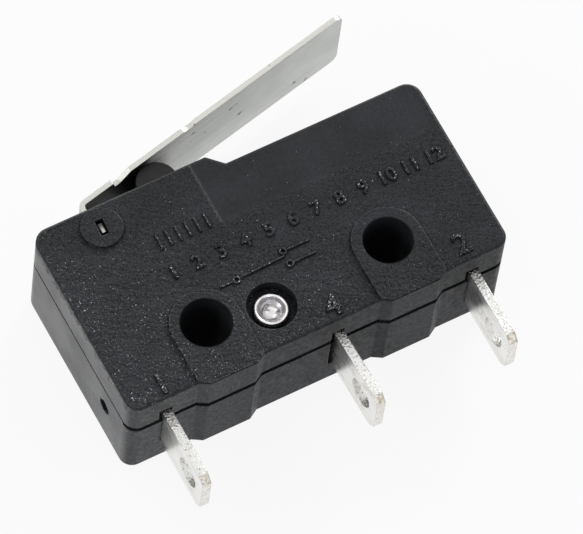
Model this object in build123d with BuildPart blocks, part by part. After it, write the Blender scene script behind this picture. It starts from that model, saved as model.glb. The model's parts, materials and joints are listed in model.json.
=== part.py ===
from build123d import *

import os
from math import atan2, cos, degrees, hypot, radians, sin, tan

# Subminiature snap-action switch with a hinged lever and three solder terminals.
#
# Millimetres. The origin is the axis of the mounting hole nearest the lever's hinge,
# on the flat back of the case. +X runs along the case towards the free end of the
# lever, +Y from the terminals to the lever, and +Z from the back to the cover.
# The lever is free and the plunger is up.

# ---------------------------------------------------------------- driving sizes

# Case outline, seen from the cover
case_length = 19.8
case_height = 10.15  # from the terminal wall to the shoulder round the plunger
shoulder_length = 9.14  # from the hinge end to the top of the step
step_drop = 0.72  # the far part of the lever wall is this much lower
foot_corner_r = 0.65
hinge_corner_r = 0.8
far_corner_r = 0.75
step_corner_r = 0.15
face_edge = 0.12
back_edge = 0.12

# Case through its depth
base_depth = 4.16
cover_depth = 2.09
wall = 0.9
floor = 1.0
roof = 0.95
groove_height = 0.12  # shadow line round the case where the two halves meet
groove_depth = 0.14
wall_groove_height = 0.28  # the line is taller along the terminal wall
spine_low = 0.4  # solid bar across the case that grips the terminal blades
spine_width = 1.0

# Mounting holes and the raised pads round them
hole_to_end = 5.15
hole_to_wall = 2.5
hole_pitch = 9.5
hinge_hole_r = 1.22
far_hole_r = 1.175
hole_boss_wall = 0.5
pad_half = 1.72
pad_rise = 0.15
foot_half = 1.23
foot_rise = 0.29  # the pads run off the terminal wall as two low feet

# Gate mark and locating pegs
gate_to_wall = 2.35
gate_z = 2.5
gate_r = 0.4
gate_depth = 0.25
peg_r = 0.35
peg_height = 0.7
peg_to_edge = 1.0

# Rivet that holds the two halves together
rivet_to_hole = 3.15
rivet_below_hole = 0.5
rivet_r = 0.6
rivet_head_r = 1.05
rivet_head_height = 0.42
rivet_head_sunk = 0.05
clinch_r = 0.85
clinch_height = 0.4
clinch_sunk = 0.35  # top of the clinched end below the cover's face
rim_half = 0.1  # the rolled rim is this much narrower at its top and foot
head_edge = 0.1
bore_r = 0.38
bore_depth = 0.9
counterbore_r = 1.2
rivet_boss_wall = 0.15

# Lever: a bent strip, hung by two lugs in slots in the case
pivot_to_end = 3.12
pivot_below_shoulder = 1.2
lever_tilt = 12.4  # degrees, free
lever_travel = 12.0  # degrees
lever_reach = 16.31  # pivot to tip, along the strip
lever_rise = 1.773  # pivot to the underside of the strip
lever_t = 0.25
lever_width = 4.25
lever_bend_r = 0.2
lever_tip_r = 0.4
leg_lean = 2.0  # degrees, free: the strip is bent past square
leg_drop = 0.35  # the leg ends this far past the pivot
lug_height = 0.5
lug_sunk = 0.1
waist_from_pivot = 2.25  # notch in each edge between the root and the strip
waist_depth = 0.42
waist_wall = 0.12
waist_floor = 0.3
waist_slope = 0.65
nick_from_pivot = 6.9  # small dent in the cover-side edge
nick_length = 0.7
nick_depth = 0.1
hinge_disc_r = 1.0

# Plunger
plunger_to_end = 6.93
plunger_width = 2.0
plunger_depth = 3.45
flange_width = 2.86
flange_depth = 4.0
flange_t = 0.65
stem_r = 0.5
stem_depth = 1.0

# Terminals
blade_t = 0.45
blade_width = 3.0
blade_reach = 3.9
blade_tip_cut = 0.38
blade_hole_r = 0.75
blade_hole_to_tip = 1.35
barb_width = 3.65
barb_length = 1.2
common_to_end = 1.935
open_to_end = 10.92
closed_to_far_end = 1.81
open_lean = 0.1  # the middle blade is bent this much at its tip
leg_bend_r = 0.4
common_above_arm = 0.7

# Snap mechanism
rocker_below_arm = 1.0
groove_v = 0.15
groove_mouth = 0.18  # half the groove's width at the blade's face
strip_t = 0.2
knife_length = 0.22
arm_width = 3.0
window_width = 1.7
window_start = 1.2
arm_past_contact = 0.95
contact_to_blade = 1.79
contact_r = 0.7
contact_shank_r = 0.35
moving_head_t = 0.28
fixed_head_t = 0.4
contact_travel = 0.52
tail_t = 0.12  # each fixed contact's shank stands this far past its leg
leg_past_contact = 0.9
rocker_tilt = 14.0
rocker_reach = 6.15  # pivot to the spring's hole
rocker_width = 1.3
spring_from_contact = 1.85
spring_hole_r = 0.18
strip_past_hole = 0.17
coil_r = 0.36
wire_r = 0.08
wire_sides = 4
coil_turns = 5

# Clearances
fit = 0.02  # pieces that are pressed or laid together in one body
window_gap = 0.04  # plunger in its window
lug_gap = 0.08  # lug in its slot
lug_end_gap = 0.16
lever_room = 0.16  # lever leg in its pocket
pocket_end_gap = 0.1
pocket_wall = 0.5
touch_gap = 0.02  # lever on plunger, and contact on contact
knife_gap = 0.03
blade_lead_in = 0.2  # notches are cut wider than the blades on their hinge side
notch_room = 0.375
flange_gap = 0.05

# --------------------------------------------------------------- derived places

left = -hole_to_end
right = left + case_length
bottom = -hole_to_wall
shoulder = bottom + case_height
low_top = shoulder - step_drop
face_z = base_depth + cover_depth
pad_z = face_z + pad_rise
mid_z = face_z / 2
rib_top = spine_low + spine_width

pivot_x = left + pivot_to_end
pivot_y = shoulder - pivot_below_shoulder
tilt = radians(lever_tilt)
far_lean = radians(lever_travel - leg_lean)
leg_sweep = (shoulder - pivot_y) * tan(far_lean) + lever_t / 2 / cos(far_lean)
pocket_half = leg_sweep + lever_room
pocket_low = pivot_y - leg_drop - lever_room
pocket_depth = lever_width + 2 * pocket_end_gap

rivet_x = rivet_to_hole
rivet_y = -rivet_below_hole
clinch_z = face_z - clinch_sunk
clinch_seat = clinch_z - clinch_height
head_seat = rivet_head_sunk + rivet_head_height

common_x = left + common_to_end
open_x = left + open_to_end
closed_x = right - closed_to_far_end
blade_tip = bottom - blade_reach
barb_low = bottom + wall

# the contacts and their legs share out the height between the bosses and the ceiling
boss_r = hinge_hole_r + hole_boss_wall
stack_below = strip_t / 2 + moving_head_t + contact_travel + fixed_head_t + blade_t
stack_above = strip_t / 2 + moving_head_t + touch_gap + fixed_head_t + blade_t + tail_t
arm_y = (boss_r + low_top - wall + stack_below - stack_above) / 2
rocker_y = arm_y - rocker_below_arm
knife_x = common_x + blade_t / 2 - groove_v + knife_gap
contact_x = closed_x - contact_to_blade
contact_reach = contact_x - knife_x
open_leg_y = arm_y - stack_below + blade_t / 2
closed_leg_y = arm_y + stack_above - tail_t - blade_t / 2

# Ends of the spring: the rocker's hole, and the arm's hole beyond its window
hook_x = knife_x + rocker_reach * cos(radians(rocker_tilt))
hook_y = rocker_y + rocker_reach * sin(radians(rocker_tilt))
anchor_x = contact_x - spring_from_contact
window_end = anchor_x - knife_x - spring_hole_r - strip_past_hole

# Plunger: its dome just clears the lever, and its nose just clears the rocker
plunger_x = left + plunger_to_end
dome_r = plunger_width / 2
dome_reach = lever_rise - dome_r - touch_gap
dome_y = pivot_y + (dome_reach + (plunger_x - pivot_x) * sin(tilt)) / cos(tilt)
nose_reach = stem_r + strip_t / 2 + knife_gap
nose_run = (plunger_x - knife_x) * sin(radians(rocker_tilt))
nose_y = rocker_y + (nose_reach + nose_run) / cos(radians(rocker_tilt))
flange_top = shoulder - wall - flange_gap

# -------------------------------------------------------------- shared outlines


def case_outline(inset):
    """Case without its feet, drawn in by inset all round."""
    slope_shift = inset * tan(radians(22.5))
    step_x = left + shoulder_length - slope_shift
    corners = [
        (left + inset, bottom + inset),
        (right - inset, bottom + inset),
        (right - inset, low_top - inset),
        (step_x + step_drop, low_top - inset),
        (step_x, shoulder - inset),
        (left + inset, shoulder - inset),
    ]
    outer_radii = [
        foot_corner_r,
        foot_corner_r,
        far_corner_r,
        step_corner_r,
        step_corner_r,
        hinge_corner_r,
    ]
    radii = [max(r - inset, step_corner_r / 2) for r in outer_radii]
    with BuildSketch() as outline:
        with BuildLine():
            FilletPolyline(*corners, radius=radii, close=True)
        make_face()
    return outline.sketch


def pad_outline(x, inset):
    """Pad round the mounting hole at x: a round end, straight sides and a sloped foot."""
    half = pad_half - inset
    foot = foot_half - inset
    end = bottom - foot_rise + inset
    with BuildSketch() as outline:
        with BuildLine():
            Polyline((x - half, 0), (x - half, bottom), (x - foot, end))
            Polyline((x - foot, end), (x + foot, end), (x + half, bottom), (x + half, 0))
            ThreePointArc((x + half, 0), (x, half), (x - half, 0))
        make_face()
    return outline.sketch


def boss_outline(x, y, r):
    """Solid round a hole, run down to the terminal wall."""
    with BuildSketch() as outline:
        with Locations((x, y)):
            Circle(r)
        with Locations((x, (y + bottom) / 2)):
            Rectangle(2 * r, y - bottom)
    return outline.sketch


def cavity_outline():
    """Hollow of either half: inside the walls, clear of the bosses, spine and pocket."""
    with BuildSketch() as outline:
        add(case_outline(wall))
        add(boss_outline(0, 0, boss_r), mode=Mode.SUBTRACT)
        add(boss_outline(hole_pitch, 0, boss_r), mode=Mode.SUBTRACT)
        rivet_boss_r = counterbore_r + rivet_boss_wall
        add(boss_outline(rivet_x, rivet_y, rivet_boss_r), mode=Mode.SUBTRACT)
        with Locations(((left + right) / 2, spine_low + spine_width / 2)):
            Rectangle(case_length, spine_width, mode=Mode.SUBTRACT)
        block_right = pivot_x + pocket_half + pocket_wall
        with Locations((left, pocket_low - pocket_wall)):
            block = (block_right - left, shoulder - pocket_low + pocket_wall)
            Rectangle(*block, align=(Align.MIN, Align.MIN), mode=Mode.SUBTRACT)
    return outline.sketch


def blade_slots(extra, top):
    """Slots for the three blades, from outside the terminal wall up to top."""
    depth = top - bottom + foot_rise
    width = blade_t + 2 * fit + extra
    with BuildSketch() as outline:
        for x in (common_x, open_x, closed_x):
            with Locations((x - extra / 2, top - depth / 2)):
                Rectangle(width, depth)
    return outline.sketch


def peg_spots():
    """Two locating pegs, in the solid corners by the hinge and beside the far blade."""
    return [
        (left + peg_to_edge, shoulder - peg_to_edge),
        (right - wall, spine_low + spine_width / 2),
    ]


def lug_outline(lean, gap, end_gap):
    """Lug or its slot, seen along the hinge."""
    with BuildSketch() as outline:
        with Locations(Location((pivot_x, pivot_y), lean)):
            Rectangle(lever_t + 2 * gap, lug_height + 2 * end_gap)
    return outline.sketch


def lug_slot():
    """Slot that a lug rocks in, leaning half way between the lever's two ends of travel."""
    return lug_outline(leg_lean - lever_travel / 2, lug_gap, lug_end_gap)


def pocket_outline():
    """Open-topped pocket that the lever's leg swings in."""
    height = shoulder - pocket_low + wall
    with BuildSketch() as outline:
        with Locations((pivot_x, pocket_low + height / 2)):
            Rectangle(2 * pocket_half, height)
    return outline.sketch


def window_outline():
    """Window in the lever wall that guides the plunger."""
    height = 2 * wall
    with BuildSketch() as outline:
        with Locations((plunger_x, shoulder - wall + height / 2)):
            Rectangle(plunger_width + 2 * window_gap, height)
    return outline.sketch


def side_plane(x, y, lean):
    """Plane through the middle of the case, with its x axis leaning by lean degrees."""
    run = (cos(radians(lean)), sin(radians(lean)), 0)
    return Plane((x, y, mid_z), x_dir=run, z_dir=(0, 0, 1))


def face_plane(x, y, lean):
    """Plane square to the one above, in which a leaning strip is flat."""
    run = (cos(radians(lean)), sin(radians(lean)), 0)
    square = (-sin(radians(lean)), cos(radians(lean)), 0)
    return Plane((x, y, mid_z), x_dir=run, z_dir=square)


# ------------------------------------------------------------------------- case

feet = [pad_outline(x, 0) for x in (0, hole_pitch)]
inner_feet = [pad_outline(x, groove_depth) for x in (0, hole_pitch)]
joint_plane = Plane.XY.offset(base_depth)

with BuildPart() as housing_base:
    with BuildSketch():
        add(case_outline(0))
        add(feet)
    extrude(amount=base_depth - groove_height)
    chamfer(housing_base.faces().sort_by(Axis.Z)[0].outer_wire().edges(), back_edge)
    # the rim stands in a little, which leaves a shadow line under the cover
    with BuildSketch(Plane.XY.offset(base_depth - groove_height)):
        add(case_outline(groove_depth))
        add(inner_feet)
    extrude(amount=groove_height)
    with BuildSketch(joint_plane):
        add(case_outline(0))
        add(feet)
        add(case_outline(groove_depth), mode=Mode.SUBTRACT)
        add(inner_feet, mode=Mode.SUBTRACT)
        # the side and lever walls keep the narrow line
        with Locations((left, bottom + foot_corner_r)):
            kept = (case_length, case_height)
            Rectangle(*kept, align=(Align.MIN, Align.MIN), mode=Mode.SUBTRACT)
    extrude(amount=-wall_groove_height, mode=Mode.SUBTRACT)
    with BuildSketch(joint_plane):
        with Locations(*peg_spots()):
            Circle(peg_r)
    extrude(amount=peg_height)
    with BuildSketch(joint_plane):
        add(cavity_outline())
    extrude(amount=floor - base_depth, mode=Mode.SUBTRACT)
    with BuildSketch(joint_plane):
        add(blade_slots(0, rib_top))
        with Locations((open_x - (blade_t + blade_lead_in) / 2, bottom)):
            Rectangle(blade_lead_in, 2 * wall)
    extrude(amount=mid_z - blade_width / 2 - fit - base_depth, mode=Mode.SUBTRACT)
    with BuildSketch(joint_plane):
        add(pocket_outline())
    extrude(amount=mid_z - pocket_depth / 2 - base_depth, mode=Mode.SUBTRACT)
    with BuildSketch(joint_plane):
        add(window_outline())
    extrude(amount=mid_z - plunger_depth / 2 - window_gap - base_depth, mode=Mode.SUBTRACT)
    with BuildSketch():
        add(lug_slot())
        Circle(hinge_hole_r)
        with Locations((hole_pitch, 0)):
            Circle(far_hole_r)
        with Locations((rivet_x, rivet_y)):
            Circle(rivet_r + fit)
    extrude(amount=base_depth, mode=Mode.SUBTRACT)
    with BuildSketch():
        with Locations((rivet_x, rivet_y)):
            Circle(counterbore_r)
    extrude(amount=head_seat, mode=Mode.SUBTRACT)
    with BuildSketch(Plane.YZ.offset(left)):
        with Locations((bottom + gate_to_wall, gate_z)):
            Circle(gate_r)
    extrude(amount=gate_depth, mode=Mode.SUBTRACT)
housing_base.part.label = "housing_base"

with BuildPart() as housing_cover:
    with BuildSketch(joint_plane):
        add(case_outline(0))
    extrude(amount=cover_depth)
    chamfer(housing_cover.faces().sort_by(Axis.Z)[-1].outer_wire().edges(), face_edge)
    with BuildSketch(joint_plane):
        add(feet)
        with Locations((pivot_x, pivot_y)):
            Circle(hinge_disc_r)
    extrude(amount=pad_z - base_depth)
    with BuildSketch(joint_plane):
        add(cavity_outline())
    extrude(amount=cover_depth - roof, mode=Mode.SUBTRACT)
    with BuildSketch(joint_plane):
        add(blade_slots(0, rib_top))
    extrude(amount=mid_z + blade_width / 2 + fit - base_depth, mode=Mode.SUBTRACT)
    with BuildSketch(joint_plane):
        add(blade_slots(blade_lead_in, bottom + wall))
    extrude(amount=mid_z + blade_width / 2 + notch_room - base_depth, mode=Mode.SUBTRACT)
    with BuildSketch(joint_plane):
        add(pocket_outline())
    extrude(amount=mid_z + pocket_depth / 2 - base_depth, mode=Mode.SUBTRACT)
    with BuildSketch(joint_plane):
        add(window_outline())
    extrude(amount=mid_z + plunger_depth / 2 + window_gap - base_depth, mode=Mode.SUBTRACT)
    with BuildSketch(joint_plane):
        add(lug_slot())
        Circle(hinge_hole_r)
        with Locations((hole_pitch, 0)):
            Circle(far_hole_r)
        with Locations((rivet_x, rivet_y)):
            Circle(rivet_r + fit)
    extrude(amount=pad_z - base_depth, mode=Mode.SUBTRACT)
    with BuildSketch(Plane.XY.offset(clinch_seat)):
        with Locations((rivet_x, rivet_y)):
            Circle(counterbore_r)
    extrude(amount=pad_z - clinch_seat, mode=Mode.SUBTRACT)
    with BuildSketch(joint_plane):
        with Locations(*peg_spots()):
            Circle(peg_r + fit)
    extrude(amount=peg_height + fit, mode=Mode.SUBTRACT)
housing_cover.part.label = "housing_cover"

# ------------------------------------------------------------------------ rivet

rim_plane = Plane((rivet_x, rivet_y, 0), x_dir=(1, 0, 0), z_dir=(0, -1, 0))

with BuildPart() as case_rivet:
    with BuildSketch(rim_plane):
        with BuildLine():
            # flat head, shank, rolled rim, then the bowl down to the blind bore
            Polyline(
                (0, rivet_head_sunk),
                (rivet_head_r - head_edge, rivet_head_sunk),
                (rivet_head_r, rivet_head_sunk + head_edge),
                (rivet_head_r, head_seat),
                (rivet_r, head_seat),
                (rivet_r, clinch_seat),
                (clinch_r - rim_half, clinch_seat),
                (clinch_r, clinch_seat + rim_half),
                (clinch_r, clinch_z - rim_half),
                (clinch_r - rim_half, clinch_z),
                (bore_r, clinch_seat),
                (bore_r, clinch_z - bore_depth),
                (0, clinch_z - bore_depth),
                close=True,
            )
        make_face()
    revolve(axis=Axis((rivet_x, rivet_y, 0), (0, 0, 1)))
case_rivet.part.label = "case_rivet"

# -------------------------------------------------------------------- terminals


def blade_flat(top):
    """Terminal blade laid flat, up to top: clipped tip, wire hole, and barbs in the case."""
    with BuildSketch() as flat:
        with Locations((blade_tip, mid_z)):
            blade_size = (top - blade_tip, blade_width)
            Rectangle(*blade_size, align=(Align.MIN, Align.CENTER))
        chamfer(flat.vertices().group_by(Axis.X)[0], blade_tip_cut)
        with Locations((barb_low, mid_z)):
            Rectangle(barb_length, barb_width, align=(Align.MIN, Align.CENTER))
        with Locations((blade_tip + blade_hole_to_tip, mid_z)):
            Circle(blade_hole_r, mode=Mode.SUBTRACT)
    return flat.sketch


def bent_strip(points, radii):
    """Edge-on outline of a bent blade whose middle line runs through the points."""
    with BuildSketch() as side:
        with BuildLine():
            FilletPolyline(*points, radius=radii)
        trace(line_width=blade_t)
    return side.sketch


def contact_plane(y):
    """Plane across the contacts' common axis, facing the lever."""
    return Plane((contact_x, y, mid_z), x_dir=(1, 0, 0), z_dir=(0, 1, 0))


blade_edge = Plane.XY.offset(mid_z - barb_width / 2)

with BuildPart() as common_terminal:
    with BuildSketch(blade_edge):
        with Locations((common_x, blade_tip)):
            common_size = (blade_t, arm_y + common_above_arm - blade_tip)
            Rectangle(*common_size, align=(Align.CENTER, Align.MIN))
        # two grooves that the arm's and the rocker's knife edges rock in
        for y in (arm_y, rocker_y):
            with BuildLine():
                face_x = common_x + blade_t / 2
                groove = [(face_x, y - groove_mouth), (face_x - groove_v, y), (face_x, y + groove_mouth)]
                Polyline(*groove, close=True)
            make_face(mode=Mode.SUBTRACT)
    extrude(amount=barb_width)
    with BuildSketch(Plane.YZ):
        add(blade_flat(arm_y + common_above_arm))
    extrude(amount=case_length, both=True, mode=Mode.INTERSECT)
common_terminal.part.label = "common_terminal"

open_path = [
    (open_x + open_lean, blade_tip),
    (open_x, bottom),
    (open_x, open_leg_y),
    (contact_x + leg_past_contact, open_leg_y),
]

with BuildPart() as normally_open_terminal:
    with BuildSketch(blade_edge):
        add(bent_strip(open_path, [blade_reach, leg_bend_r + blade_t / 2]))
    extrude(amount=barb_width)
    with BuildSketch(Plane.YZ):
        add(blade_flat(open_leg_y + blade_t))
    extrude(amount=case_length, both=True, mode=Mode.INTERSECT)
    with BuildSketch(contact_plane(open_leg_y)):
        Circle(contact_shank_r + fit)
    extrude(amount=blade_t, both=True, mode=Mode.SUBTRACT)
normally_open_terminal.part.label = "normally_open_terminal"

closed_path = [
    (closed_x, blade_tip),
    (closed_x, closed_leg_y),
    (contact_x - leg_past_contact, closed_leg_y),
]

with BuildPart() as normally_closed_terminal:
    with BuildSketch(blade_edge):
        add(bent_strip(closed_path, leg_bend_r + blade_t / 2))
    extrude(amount=barb_width)
    with BuildSketch(Plane.YZ):
        add(blade_flat(closed_leg_y + blade_t))
    extrude(amount=case_length, both=True, mode=Mode.INTERSECT)
    with BuildSketch(contact_plane(closed_leg_y)):
        Circle(contact_shank_r + fit)
    extrude(amount=blade_t, both=True, mode=Mode.SUBTRACT)
normally_closed_terminal.part.label = "normally_closed_terminal"

# --------------------------------------------------------------------- contacts


def rivet_contact(seat):
    """Contact on a fixed leg: a flat head, and a shank that stands a little past the leg."""
    with BuildPart() as contact:
        with BuildSketch(seat):
            Circle(contact_r)
        extrude(amount=fixed_head_t)
        with BuildSketch(seat):
            Circle(contact_shank_r)
        extrude(amount=-blade_t - tail_t)
    return contact.part


open_seat = contact_plane(open_leg_y + blade_t / 2)
closed_seat = contact_plane(closed_leg_y - blade_t / 2).rotated((180, 0, 0))

with BuildPart() as normally_open_contact:
    add(rivet_contact(open_seat))
normally_open_contact.part.label = "normally_open_contact"

with BuildPart() as normally_closed_contact:
    add(rivet_contact(closed_seat))
normally_closed_contact.part.label = "normally_closed_contact"

with BuildPart() as moving_contact:
    with BuildSketch(contact_plane(arm_y)):
        Circle(contact_r)
    extrude(amount=strip_t / 2 + moving_head_t, both=True)
    # waist that the arm is pinched in
    with BuildSketch(contact_plane(arm_y)):
        Circle(2 * contact_r)
        Circle(contact_shank_r, mode=Mode.SUBTRACT)
    extrude(amount=strip_t / 2, both=True, mode=Mode.SUBTRACT)
moving_contact.part.label = "moving_contact"

# --------------------------------------------------------------- snap mechanism


def knife_strip(side, length, width):
    """Flat strip with a knife edge at the start of its plane's x axis."""
    with BuildPart() as strip:
        with BuildSketch(side):
            with BuildLine():
                Polyline(
                    (0, 0),
                    (knife_length, -strip_t / 2),
                    (length, -strip_t / 2),
                    (length, strip_t / 2),
                    (knife_length, strip_t / 2),
                    close=True,
                )
            make_face()
        extrude(amount=width / 2, both=True)
    return strip.part


arm_length = contact_reach + arm_past_contact
arm_side = side_plane(knife_x, arm_y, 0)
arm_face = face_plane(knife_x, arm_y, 0)

with BuildPart() as contact_arm:
    add(knife_strip(arm_side, arm_length, arm_width))
    far_corners = contact_arm.edges().filter_by(Axis.Y).group_by(Axis.X)[-1]
    chamfer(far_corners, contact_r / 2)
    with BuildSketch(arm_face):
        with Locations((window_start, 0)):
            window_size = (window_end - window_start, window_width)
            Rectangle(*window_size, align=(Align.MIN, Align.CENTER))
        with Locations((anchor_x - knife_x, 0)):
            Circle(spring_hole_r)
        with Locations((contact_reach, 0)):
            Circle(contact_shank_r + fit)
    extrude(amount=strip_t, both=True, mode=Mode.SUBTRACT)
contact_arm.part.label = "contact_arm"

rocker_length = rocker_reach + spring_hole_r + strip_past_hole
rocker_side = side_plane(knife_x, rocker_y, rocker_tilt)
rocker_face = face_plane(knife_x, rocker_y, rocker_tilt)

with BuildPart() as rocker:
    add(knife_strip(rocker_side, rocker_length, rocker_width))
    with BuildSketch(rocker_face):
        with Locations((rocker_reach, 0)):
            Circle(spring_hole_r)
    extrude(amount=strip_t, both=True, mode=Mode.SUBTRACT)
    across_rocker = Axis((0, 0, 0), rocker_face.z_dir)
    tip_corners = rocker.edges().filter_by(across_rocker).group_by(Axis.X)[-1]
    fillet(tip_corners, strip_past_hole)
rocker.part.label = "rocker"

# Tension spring from the rocker's hole to the arm's: a close coil that ends in two hooks,
# each a half ring that passes through its hole
spring_run = hypot(anchor_x - hook_x, arm_y - hook_y)
spring_lean = degrees(atan2(arm_y - hook_y, anchor_x - hook_x))
spring_plane = side_plane(hook_x, hook_y, spring_lean)
coil_length = spring_run - 2 * coil_r
coil_start = spring_plane.from_local_coords((coil_r, 0, 0))
coil_plane = Plane(coil_start, x_dir=spring_plane.y_dir, z_dir=spring_plane.x_dir)
turns = coil_plane.location * Edge.make_helix(coil_length / coil_turns, coil_length, coil_r)

with BuildPart() as snap_spring:
    with BuildSketch(Plane(turns @ 0, z_dir=turns % 0)):
        RegularPolygon(wire_r, wire_sides)
    sweep(path=turns, is_frenet=True)
    half_turn = 180
    for centre, start in ((coil_r, 90), (spring_run - coil_r, -90)):
        with BuildLine(spring_plane):
            hook = CenterArc((centre, 0), coil_r, start, half_turn)
        with BuildSketch(Plane(hook @ 0, z_dir=hook % 0)):
            RegularPolygon(wire_r, wire_sides)
        sweep(path=hook)
snap_spring.part.label = "snap_spring"

# --------------------------------------------------------------- lever, plunger

lever_side = side_plane(pivot_x, pivot_y, lever_tilt)
lever_face = face_plane(pivot_x, pivot_y, lever_tilt).offset(lever_rise + lever_t)
leg_turn = radians(lever_tilt - leg_lean)
strip_mid = lever_rise + lever_t / 2
lever_path = [
    (-leg_drop * sin(leg_turn), -leg_drop * cos(leg_turn)),
    (strip_mid * tan(leg_turn), strip_mid),
    (lever_reach, strip_mid),
]
waist_edge = lever_width / 2
waist_end = waist_from_pivot + waist_wall + waist_floor + waist_slope

with BuildPart() as lever:
    with BuildSketch(lever_side):
        with BuildLine():
            FilletPolyline(*lever_path, radius=lever_bend_r + lever_t / 2)
        trace(line_width=lever_t)
    extrude(amount=lever_width / 2, both=True)
    across_lever = Axis((0, 0, 0), lever_side.y_dir)
    tip_corners = lever.edges().filter_by(across_lever).group_by(Axis.X)[-1]
    fillet(tip_corners, lever_tip_r)
    # lugs that hang the lever in the case
    with BuildSketch(Plane.XY.offset(lug_sunk)):
        add(lug_outline(leg_lean, 0, 0))
    extrude(amount=pad_z - 2 * lug_sunk)
    # waist between the root and the strip: a notch in each edge
    with BuildSketch(lever_face):
        for side in (1, -1):
            with BuildLine():
                Polyline(
                    (waist_from_pivot, side * waist_edge),
                    (waist_from_pivot + waist_wall, side * (waist_edge - waist_depth)),
                    (waist_end - waist_slope, side * (waist_edge - waist_depth)),
                    (waist_end, side * waist_edge),
                    close=True,
                )
            make_face()
    extrude(amount=-2 * lever_t, mode=Mode.SUBTRACT)
    # small dent in the edge nearest the cover
    nick_r = (nick_length**2 / 4 + nick_depth**2) / (2 * nick_depth)
    with BuildSketch(lever_face):
        with Locations((nick_from_pivot, -lever_width / 2 - nick_r + nick_depth)):
            Circle(nick_r)
    extrude(amount=-2 * lever_t, mode=Mode.SUBTRACT)
lever.part.label = "lever"

with BuildPart() as plunger:
    body_low = flange_top - flange_t
    with BuildSketch(side_plane(plunger_x, 0, 0)):
        with Locations((0, dome_y)):
            Circle(dome_r)
        with Locations((0, body_low)):
            Rectangle(plunger_width, dome_y - body_low, align=(Align.CENTER, Align.MIN))
    extrude(amount=plunger_depth / 2, both=True)
    with BuildSketch(side_plane(plunger_x, 0, 0)):
        with Locations((0, body_low)):
            flange_size = (flange_width, flange_t)
            Rectangle(*flange_size, align=(Align.CENTER, Align.MIN))
    extrude(amount=flange_depth / 2, both=True)
    with BuildSketch(side_plane(plunger_x, 0, 0)):
        with Locations((0, nose_y)):
            Circle(stem_r)
            Rectangle(2 * stem_r, body_low - nose_y, align=(Align.CENTER, Align.MIN))
    extrude(amount=stem_depth / 2, both=True)
plunger.part.label = "plunger"

# ----------------------------------------------------------------------- export

pieces = [
    housing_base,
    housing_cover,
    case_rivet,
    common_terminal,
    normally_open_terminal,
    normally_closed_terminal,
    normally_open_contact,
    normally_closed_contact,
    moving_contact,
    contact_arm,
    rocker,
    snap_spring,
    lever,
    plunger,
]

os.makedirs("parts", exist_ok=True)
for piece in pieces:
    export_step(piece.part, f"parts/{piece.part.label}.step")
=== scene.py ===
import json
import math

import bmesh
import bpy
from mathutils import Euler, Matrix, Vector


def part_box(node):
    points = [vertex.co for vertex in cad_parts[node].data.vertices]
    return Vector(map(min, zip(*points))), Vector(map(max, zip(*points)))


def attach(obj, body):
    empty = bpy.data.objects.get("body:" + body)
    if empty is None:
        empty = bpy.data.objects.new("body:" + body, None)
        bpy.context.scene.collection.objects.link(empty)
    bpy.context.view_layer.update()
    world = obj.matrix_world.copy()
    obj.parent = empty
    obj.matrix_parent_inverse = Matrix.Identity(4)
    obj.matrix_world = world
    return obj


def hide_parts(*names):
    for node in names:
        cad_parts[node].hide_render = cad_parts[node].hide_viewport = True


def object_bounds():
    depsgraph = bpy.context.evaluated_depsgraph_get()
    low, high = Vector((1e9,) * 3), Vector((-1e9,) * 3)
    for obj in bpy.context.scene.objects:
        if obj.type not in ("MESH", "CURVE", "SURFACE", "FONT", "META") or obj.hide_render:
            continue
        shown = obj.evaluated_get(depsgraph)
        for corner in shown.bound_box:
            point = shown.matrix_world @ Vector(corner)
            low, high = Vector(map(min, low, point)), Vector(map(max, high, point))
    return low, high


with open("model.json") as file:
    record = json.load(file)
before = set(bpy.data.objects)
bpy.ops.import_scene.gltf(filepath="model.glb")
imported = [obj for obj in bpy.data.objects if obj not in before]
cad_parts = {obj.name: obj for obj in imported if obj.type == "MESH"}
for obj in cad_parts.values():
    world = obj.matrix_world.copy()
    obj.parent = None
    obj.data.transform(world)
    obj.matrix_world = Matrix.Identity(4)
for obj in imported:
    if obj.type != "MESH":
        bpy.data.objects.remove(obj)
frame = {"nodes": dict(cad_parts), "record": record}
cad_low, cad_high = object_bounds()

# ---- Housing base ---------------------------------------------------------------
# The lower half of the case: one black glass-filled moulding that holds the blades in
# a spine across its floor. Its mould was spark-eroded, so its walls are finely pitted.


def plain_finish(title):
    """Empty material with one shader, and the piece's own coordinates in metres."""
    finish = bpy.data.materials.new(title)
    finish.use_nodes = True
    tree = finish.node_tree
    shader = next(n for n in tree.nodes if n.type == "BSDF_PRINCIPLED")
    coords = tree.nodes.new("ShaderNodeTexCoord").outputs["Object"]
    return finish, tree, shader, coords


def step(tree, kind, sockets, **settings):
    """Adds one node, with each socket set to a number or joined to another node."""
    made = tree.nodes.new("ShaderNode" + kind)
    for key, value in settings.items():
        setattr(made, key, value)
    for key, value in sockets.items():
        if isinstance(value, bpy.types.NodeSocket):
            tree.links.new(value, made.inputs[key])
        else:
            made.inputs[key].default_value = value
    return made


def plus(tree, first, second):
    return step(tree, "Math", {0: first, 1: second}, operation="ADD").outputs[0]


def times(tree, first, second):
    return step(tree, "Math", {0: first, 1: second}, operation="MULTIPLY").outputs[0]


def larger(tree, first, second):
    return step(tree, "Math", {0: first, 1: second}, operation="MAXIMUM").outputs[0]


def rest_of(tree, share):
    """What is left of 1 when share is taken away."""
    return step(tree, "Math", {0: 1.0, 1: share}, operation="SUBTRACT").outputs[0]


def unsigned(tree, value):
    return step(tree, "Math", {0: value}, operation="ABSOLUTE").outputs[0]


def ramp(tree, value, low, high, to_low=0.0, to_high=1.0):
    """Stretches value from low..high to to_low..to_high, smoothly."""
    sockets = {
        "Value": value,
        "From Min": low,
        "From Max": high,
        "To Min": to_low,
        "To Max": to_high,
    }
    return step(tree, "MapRange", sockets, interpolation_type="SMOOTHSTEP").outputs[0]


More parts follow.
